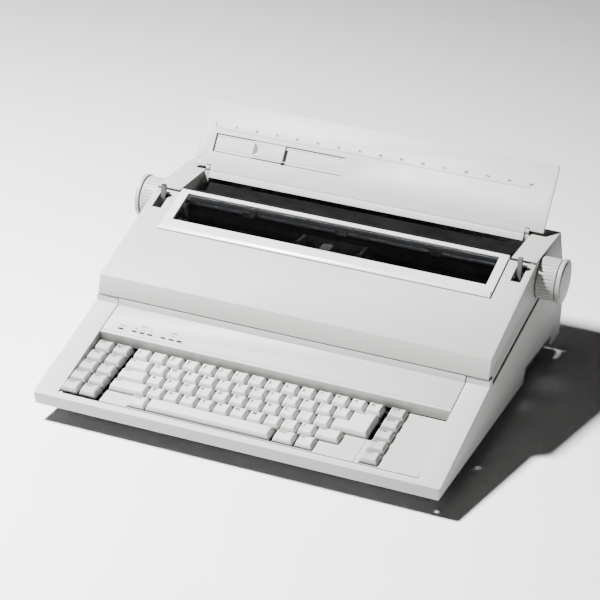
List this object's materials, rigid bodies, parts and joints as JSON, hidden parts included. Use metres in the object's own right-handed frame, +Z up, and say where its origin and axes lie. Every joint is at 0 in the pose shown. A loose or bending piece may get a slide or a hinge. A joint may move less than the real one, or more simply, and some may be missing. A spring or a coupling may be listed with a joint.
{
  "type": "electronic typewriter",
  "caption": "Desktop daisy-wheel typewriter with sloping keyboard, hinged top cover with clear window, platen with side knobs and folding paper support.",
  "frame": {"origin": "on the table under the middle of the whole machine's bounding box", "axes": "+X to the typist's right, along the platen; +Y to the back; +Z up"},
  "size_m": [0.507, 0.4194, 0.2304],
  "materials": {
    "case_plastic": "fine textured, warm light grey",
    "panel_plastic": "fine textured",
    "cover_plastic": "fine textured",
    "base_plastic": "textured dark grey",
    "key_white": "satin, dished tops",
    "key_grey": "satin, dished tops",
    "knob_plastic": "ribbed satin",
    "window_rim": "polished",
    "clear_window": "clear acrylic",
    "platen_rubber": "ground matt",
    "roller_rubber": "matt",
    "foot_rubber": "matt",
    "steel": "zinc plated",
    "bright_steel": "ground",
    "pan_steel": "matt black",
    "brass": "turned",
    "gear_plastic": "natural acetal",
    "black_plastic": "satin black",
    "motor_metal": "dark satin",
    "belt_rubber": "toothed belt",
    "board": "solder-masked laminate",
    "lamp": "dark red tinted",
    "transformer": "varnished laminations",
    "switch_black": "glossy black"
  },
  "bodies": {
    "base": {"lower_case": "case_plastic", "bottom_plate": "base_plastic", "rubber_feet": "foot_rubber", "keyboard_deck": "case_plastic", "control_panel": "panel_plastic", "indicator_lamps": "lamp", "rear_cover": "case_plastic", "side_frame_left": "steel", "side_frame_right": "steel", "platen_bushes": "brass", "feed_motor": "motor_metal", "paper_pan": "pan_steel", "carriage_rails": "bright_steel", "carriage_motor": "motor_metal", "drive_belt": "belt_rubber", "main_board": "board", "power_supply": "transformer", "power_inlet": "black_plastic", "case_screws": "steel", "key_guide_plate": "motor_metal", "key_board": "board"},
    "cover": {"top_cover": "cover_plastic", "window_frame": "window_rim", "window_pane": "clear_window", "cover_pins": "bright_steel"},
    "support": {"paper_support": "panel_plastic"},
    "guide": {"paper_guide": "panel_plastic"},
    "platen": {"platen_roller": "platen_rubber", "platen_shaft": "bright_steel", "knob_left": "knob_plastic", "knob_right": "knob_plastic", "platen_gear": "gear_plastic"},
    "feed_idler": {"feed_idler_gear": "gear_plastic"},
    "pinion": {"feed_pinion": "brass"},
    "feed": {"feed_frame": "steel"},
    "front_rollers": {"front_feed_rollers": "roller_rubber"},
    "rear_rollers": {"rear_feed_rollers": "roller_rubber"},
    "release_lever": {"paper_release_lever": "knob_plastic"},
    "bail": {"paper_bail": "bright_steel"},
    "bail_wheels": {"bail_rollers": "roller_rubber"},
    "carriage": {"carriage": "black_plastic", "wheel_motor": "motor_metal", "ribbon_cassette": "black_plastic", "correction_spools": "gear_plastic"},
    "wheel": {"print_wheel": "black_plastic"},
    "hammer": {"print_hammer": "bright_steel"},
    "left_pulley": {"drive_pulley": "brass"},
    "right_pulley": {"idler_pulley": "brass"},
    "switch": {"power_switch": "switch_black"},
    "left_block_keys": {"left_block_keys": "key_grey"},
    "number_row_keys": {"number_row_keys": "key_white"},
    "upper_row_keys": {"upper_row_keys": "key_white"},
    "home_row_keys": {"home_row_keys": "key_white"},
    "lower_row_keys": {"lower_row_keys": "key_white"},
    "return_key": {"return_key": "key_white"},
    "left_shift_key": {"left_shift_key": "key_white"},
    "right_shift_key": {"right_shift_key": "key_white"},
    "space_bar": {"space_bar": "key_white"},
    "front_row_keys": {"front_row_keys": "key_white"},
    "right_block_keys": {"right_block_keys": "key_grey"}
  },
  "joints": [
    {"name": "cover_open", "type": "hinge", "parent": "base", "child": "cover", "pos_m": [0, 0.0798, 0.1565], "axis": [-1, 0, 0], "range_deg": [0, 55]},
    {"name": "support_fold", "type": "hinge", "parent": "base", "child": "support", "pos_m": [0, 0.1524, 0.1642], "axis": [-1, 0, 0], "range_deg": [-122, 0]},
    {"name": "guide_slide", "type": "slide", "parent": "support", "child": "guide", "axis": [1, 0, 0], "range_m": [-0.048, 0.0715]},
    {"name": "platen_turn", "type": "hinge", "parent": "base", "child": "platen", "pos_m": [0, 0.105, 0.1357], "axis": [1, 0, 0], "continuous": true},
    {"name": "idler_turn", "type": "hinge", "parent": "base", "child": "feed_idler", "pos_m": [0, 0.122, 0.10626], "axis": [1, 0, 0], "continuous": true},
    {"name": "pinion_turn", "type": "hinge", "parent": "base", "child": "pinion", "pos_m": [0, 0.1325, 0.08807], "axis": [1, 0, 0], "continuous": true},
    {"name": "feed_release", "type": "hinge", "parent": "base", "child": "feed", "pos_m": [0, 0.1463, 0.104], "axis": [1, 0, 0], "range_deg": [0, 3.6], "stiffness_Nm_per_rad": 1.5, "springref_deg": -3.44},
    {"name": "front_rollers_turn", "type": "hinge", "parent": "feed", "child": "front_rollers", "pos_m": [0, 0.09621, 0.11155], "axis": [1, 0, 0], "continuous": true},
    {"name": "rear_rollers_turn", "type": "hinge", "parent": "feed", "child": "rear_rollers", "pos_m": [0, 0.11707, 0.11301], "axis": [1, 0, 0], "continuous": true},
    {"name": "release_lever_turn", "type": "hinge", "parent": "base", "child": "release_lever", "pos_m": [0, 0.0703, 0.112], "axis": [1, 0, 0], "range_deg": [0, 18]},
    {"name": "bail_turn", "type": "hinge", "parent": "base", "child": "bail", "pos_m": [0, 0.0703, 0.112], "axis": [1, 0, 0], "range_deg": [0, 13]},
    {"name": "bail_rollers_turn", "type": "hinge", "parent": "bail", "child": "bail_wheels", "pos_m": [0, 0.0853, 0.147], "axis": [1, 0, 0], "continuous": true},
    {"name": "carriage_travel", "type": "slide", "parent": "base", "child": "carriage", "axis": [1, 0, 0], "range_m": [-0.13, 0.14]},
    {"name": "wheel_turn", "type": "hinge", "parent": "carriage", "child": "wheel", "pos_m": [-0.005, 0.0793, 0.103], "axis": [0, 1, 0], "continuous": true},
    {"name": "hammer_strike", "type": "slide", "parent": "carriage", "child": "hammer", "axis": [0, 1, 0], "range_m": [0, 0.003], "stiffness_N_per_m": 100, "springref_m": -0.001},
    {"name": "left_pulley_turn", "type": "hinge", "parent": "base", "child": "left_pulley", "pos_m": [-0.183, 0.0523, 0.05], "axis": [0, 1, 0], "continuous": true},
    {"name": "right_pulley_turn", "type": "hinge", "parent": "base", "child": "right_pulley", "pos_m": [0.183, 0.0523, 0.05], "axis": [0, 1, 0], "continuous": true},
    {"name": "switch_rock", "type": "hinge", "parent": "base", "child": "switch", "pos_m": [0.122, 0.2002, 0.038], "axis": [1, 0, 0], "range_deg": [0, 14]},
    {"name": "left_block_keys_press", "type": "slide", "parent": "base", "child": "left_block_keys", "axis": [0, 0.1633, -0.9866], "range_m": [0, 0.0035], "stiffness_N_per_m": 1500, "springref_m": -0.001},
    {"name": "number_row_keys_press", "type": "slide", "parent": "base", "child": "number_row_keys", "axis": [0, 0.1633, -0.9866], "range_m": [0, 0.0035], "stiffness_N_per_m": 2250, "springref_m": -0.001},
    {"name": "upper_row_keys_press", "type": "slide", "parent": "base", "child": "upper_row_keys", "axis": [0, 0.1633, -0.9866], "range_m": [0, 0.0035], "stiffness_N_per_m": 1950, "springref_m": -0.001},
    {"name": "home_row_keys_press", "type": "slide", "parent": "base", "child": "home_row_keys", "axis": [0, 0.1633, -0.9866], "range_m": [0, 0.0035], "stiffness_N_per_m": 1800, "springref_m": -0.001},
    {"name": "lower_row_keys_press", "type": "slide", "parent": "base", "child": "lower_row_keys", "axis": [0, 0.1633, -0.9866], "range_m": [0, 0.0035], "stiffness_N_per_m": 1500, "springref_m": -0.001},
    {"name": "return_key_press", "type": "slide", "parent": "base", "child": "return_key", "axis": [0, 0.1633, -0.9866], "range_m": [0, 0.0035], "stiffness_N_per_m": 150, "springref_m": -0.001},
    {"name": "left_shift_key_press", "type": "slide", "parent": "base", "child": "left_shift_key", "axis": [0, 0.1633, -0.9866], "range_m": [0, 0.0035], "stiffness_N_per_m": 150, "springref_m": -0.001},
    {"name": "right_shift_key_press", "type": "slide", "parent": "base", "child": "right_shift_key", "axis": [0, 0.1633, -0.9866], "range_m": [0, 0.0035], "stiffness_N_per_m": 150, "springref_m": -0.001},
    {"name": "space_bar_press", "type": "slide", "parent": "base", "child": "space_bar", "axis": [0, 0.1633, -0.9866], "range_m": [0, 0.0035], "stiffness_N_per_m": 150, "springref_m": -0.001},
    {"name": "front_row_keys_press", "type": "slide", "parent": "base", "child": "front_row_keys", "axis": [0, 0.1633, -0.9866], "range_m": [0, 0.0035], "stiffness_N_per_m": 450, "springref_m": -0.001},
    {"name": "right_block_keys_press", "type": "slide", "parent": "base", "child": "right_block_keys", "axis": [0, 0.1633, -0.9866], "range_m": [0, 0.0035], "stiffness_N_per_m": 750, "springref_m": -0.001}
  ],
  "couplings": [
    {"joint": "idler_turn", "follows": "platen_turn", "ratio": -1.4286},
    {"joint": "pinion_turn", "follows": "platen_turn", "ratio": 2.8571},
    {"joint": "front_rollers_turn", "follows": "platen_turn", "ratio": -2.6429},
    {"joint": "rear_rollers_turn", "follows": "platen_turn", "ratio": -2.6429},
    {"joint": "feed_release", "follows": "release_lever_turn", "ratio": 0.19},
    {"joint": "left_pulley_turn", "follows": "carriage_travel", "rad_per_m": 125},
    {"joint": "right_pulley_turn", "follows": "carriage_travel", "rad_per_m": 125}
  ]
}
